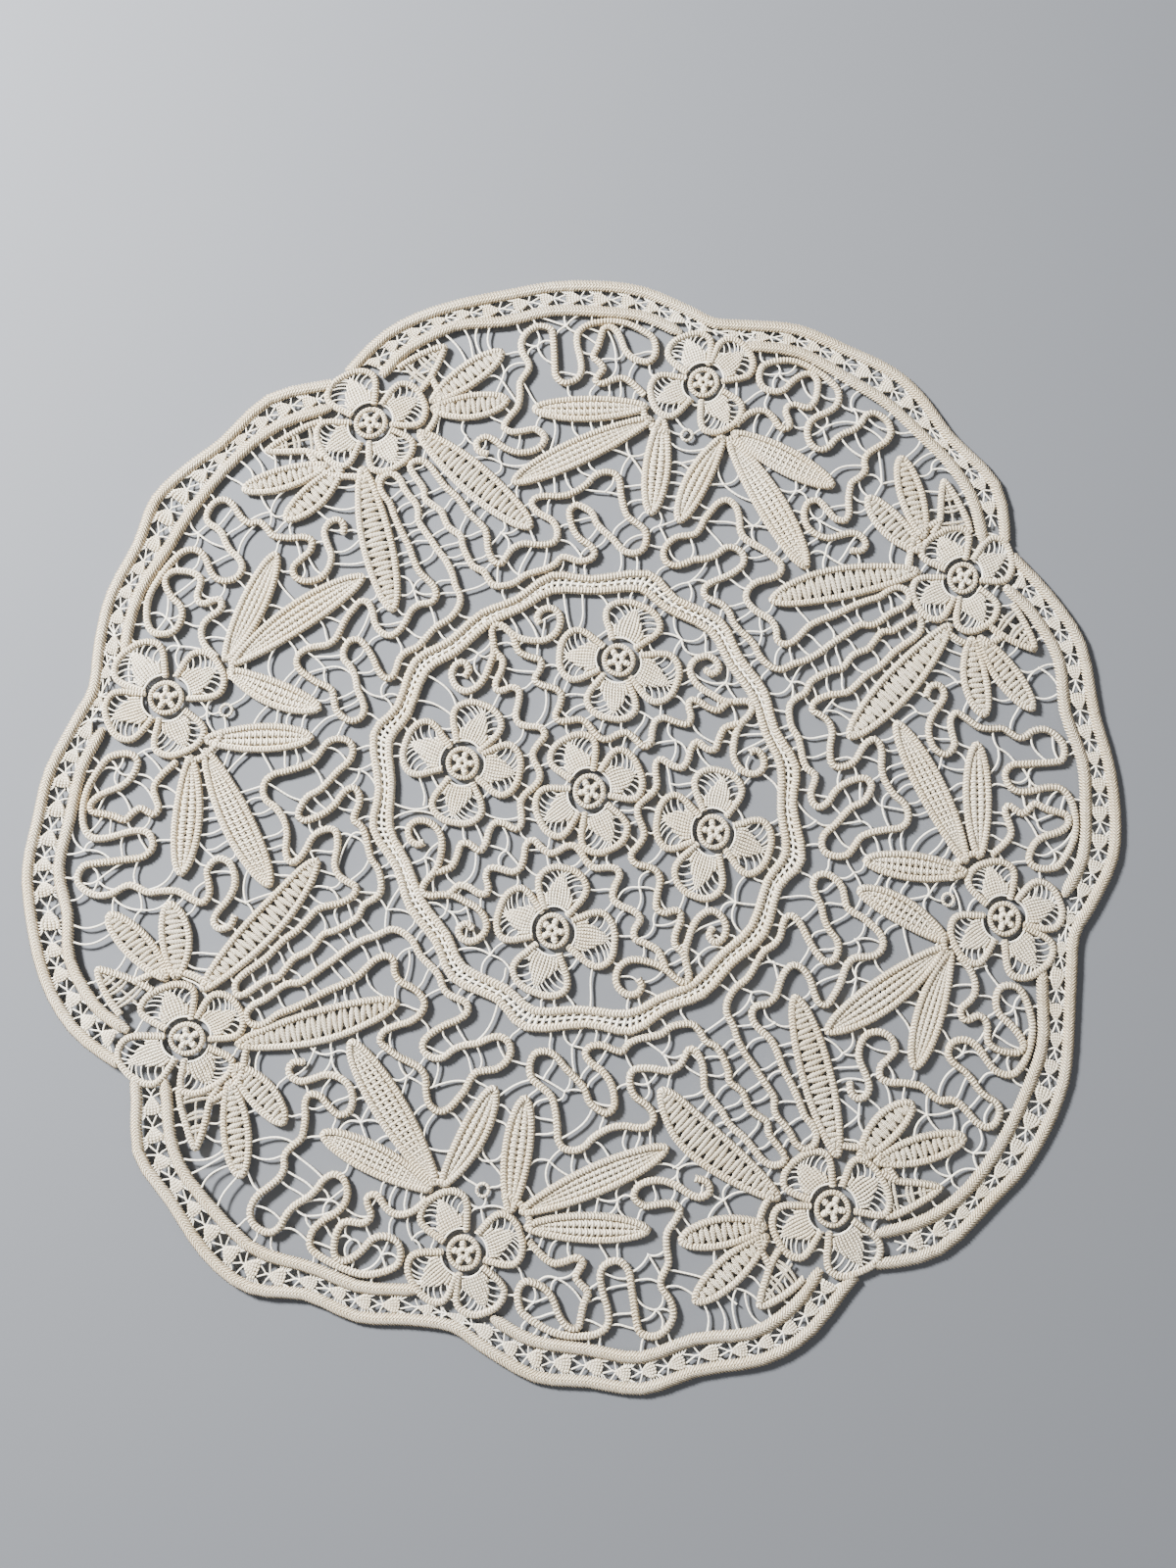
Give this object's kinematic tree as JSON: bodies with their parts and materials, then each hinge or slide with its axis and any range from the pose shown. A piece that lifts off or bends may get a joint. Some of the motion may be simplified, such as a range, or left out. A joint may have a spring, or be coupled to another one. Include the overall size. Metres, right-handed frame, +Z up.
{
  "type": "point lace doily",
  "caption": "Round-cornered lace doily of crocheted cords, woven leaves and petals and needle-made bars, laid flat.",
  "frame": {"origin": "middle of the doily's bounding box on the plane it lies on", "axes": "+Z up out of the lace, +Y towards the lobe that is at the top of the picture, +X to the right"},
  "size_m": [0.4462, 0.454, 0.005],
  "materials": {
    "cord_cotton": "mercerised crochet cotton, matt",
    "woven_cotton": "needle-woven cotton, matt",
    "thread_cotton": "fine cotton thread, matt"
  },
  "bodies": {
    "root": {"filling_bottom": "thread_cotton", "filling_left": "thread_cotton", "filling_right": "thread_cotton", "filling_top": "thread_cotton", "flower_centre": "woven_cotton", "flower_corner_bottom": "woven_cotton", "flower_corner_left": "woven_cotton", "flower_corner_right": "woven_cotton", "flower_corner_top": "woven_cotton", "flower_inner_bottom": "woven_cotton", "flower_inner_left": "woven_cotton", "flower_inner_right": "woven_cotton", "flower_inner_top": "woven_cotton", "flower_mid_bottom": "woven_cotton", "flower_mid_left": "woven_cotton", "flower_mid_right": "woven_cotton", "flower_mid_top": "woven_cotton", "frame_inner_cord": "cord_cotton", "frame_ladder": "thread_cotton", "frame_outer_cord": "cord_cotton", "ground_medallion": "cord_cotton", "ground_outer": "cord_cotton", "ground_outer_left_bottom": "cord_cotton", "ground_outer_left_left": "cord_cotton", "ground_outer_left_right": "cord_cotton", "ground_outer_left_top": "cord_cotton", "ground_outer_right_bottom": "cord_cotton", "ground_outer_right_left": "cord_cotton", "ground_outer_right_right": "cord_cotton", "ground_outer_right_top": "cord_cotton", "inner_tape_left_bottom": "cord_cotton", "inner_tape_left_left": "cord_cotton", "inner_tape_left_right": "cord_cotton", "inner_tape_left_top": "cord_cotton", "inner_tape_right_bottom": "cord_cotton", "inner_tape_right_left": "cord_cotton", "inner_tape_right_right": "cord_cotton", "inner_tape_right_top": "cord_cotton", "outer_tape_bottom": "cord_cotton", "outer_tape_left": "cord_cotton", "outer_tape_right": "cord_cotton", "outer_tape_top": "cord_cotton", "spray_corner_left_bottom": "woven_cotton", "spray_corner_left_left": "woven_cotton", "spray_corner_left_right": "woven_cotton", "spray_corner_left_top": "woven_cotton", "spray_corner_right_bottom": "woven_cotton", "spray_corner_right_left": "woven_cotton", "spray_corner_right_right": "woven_cotton", "spray_corner_right_top": "woven_cotton", "spray_mid_left_bottom": "woven_cotton", "spray_mid_left_left": "woven_cotton", "spray_mid_left_right": "woven_cotton", "spray_mid_left_top": "woven_cotton", "spray_mid_right_bottom": "woven_cotton", "spray_mid_right_left": "woven_cotton", "spray_mid_right_right": "woven_cotton", "spray_mid_right_top": "woven_cotton"}
  },
  "joints": []
}
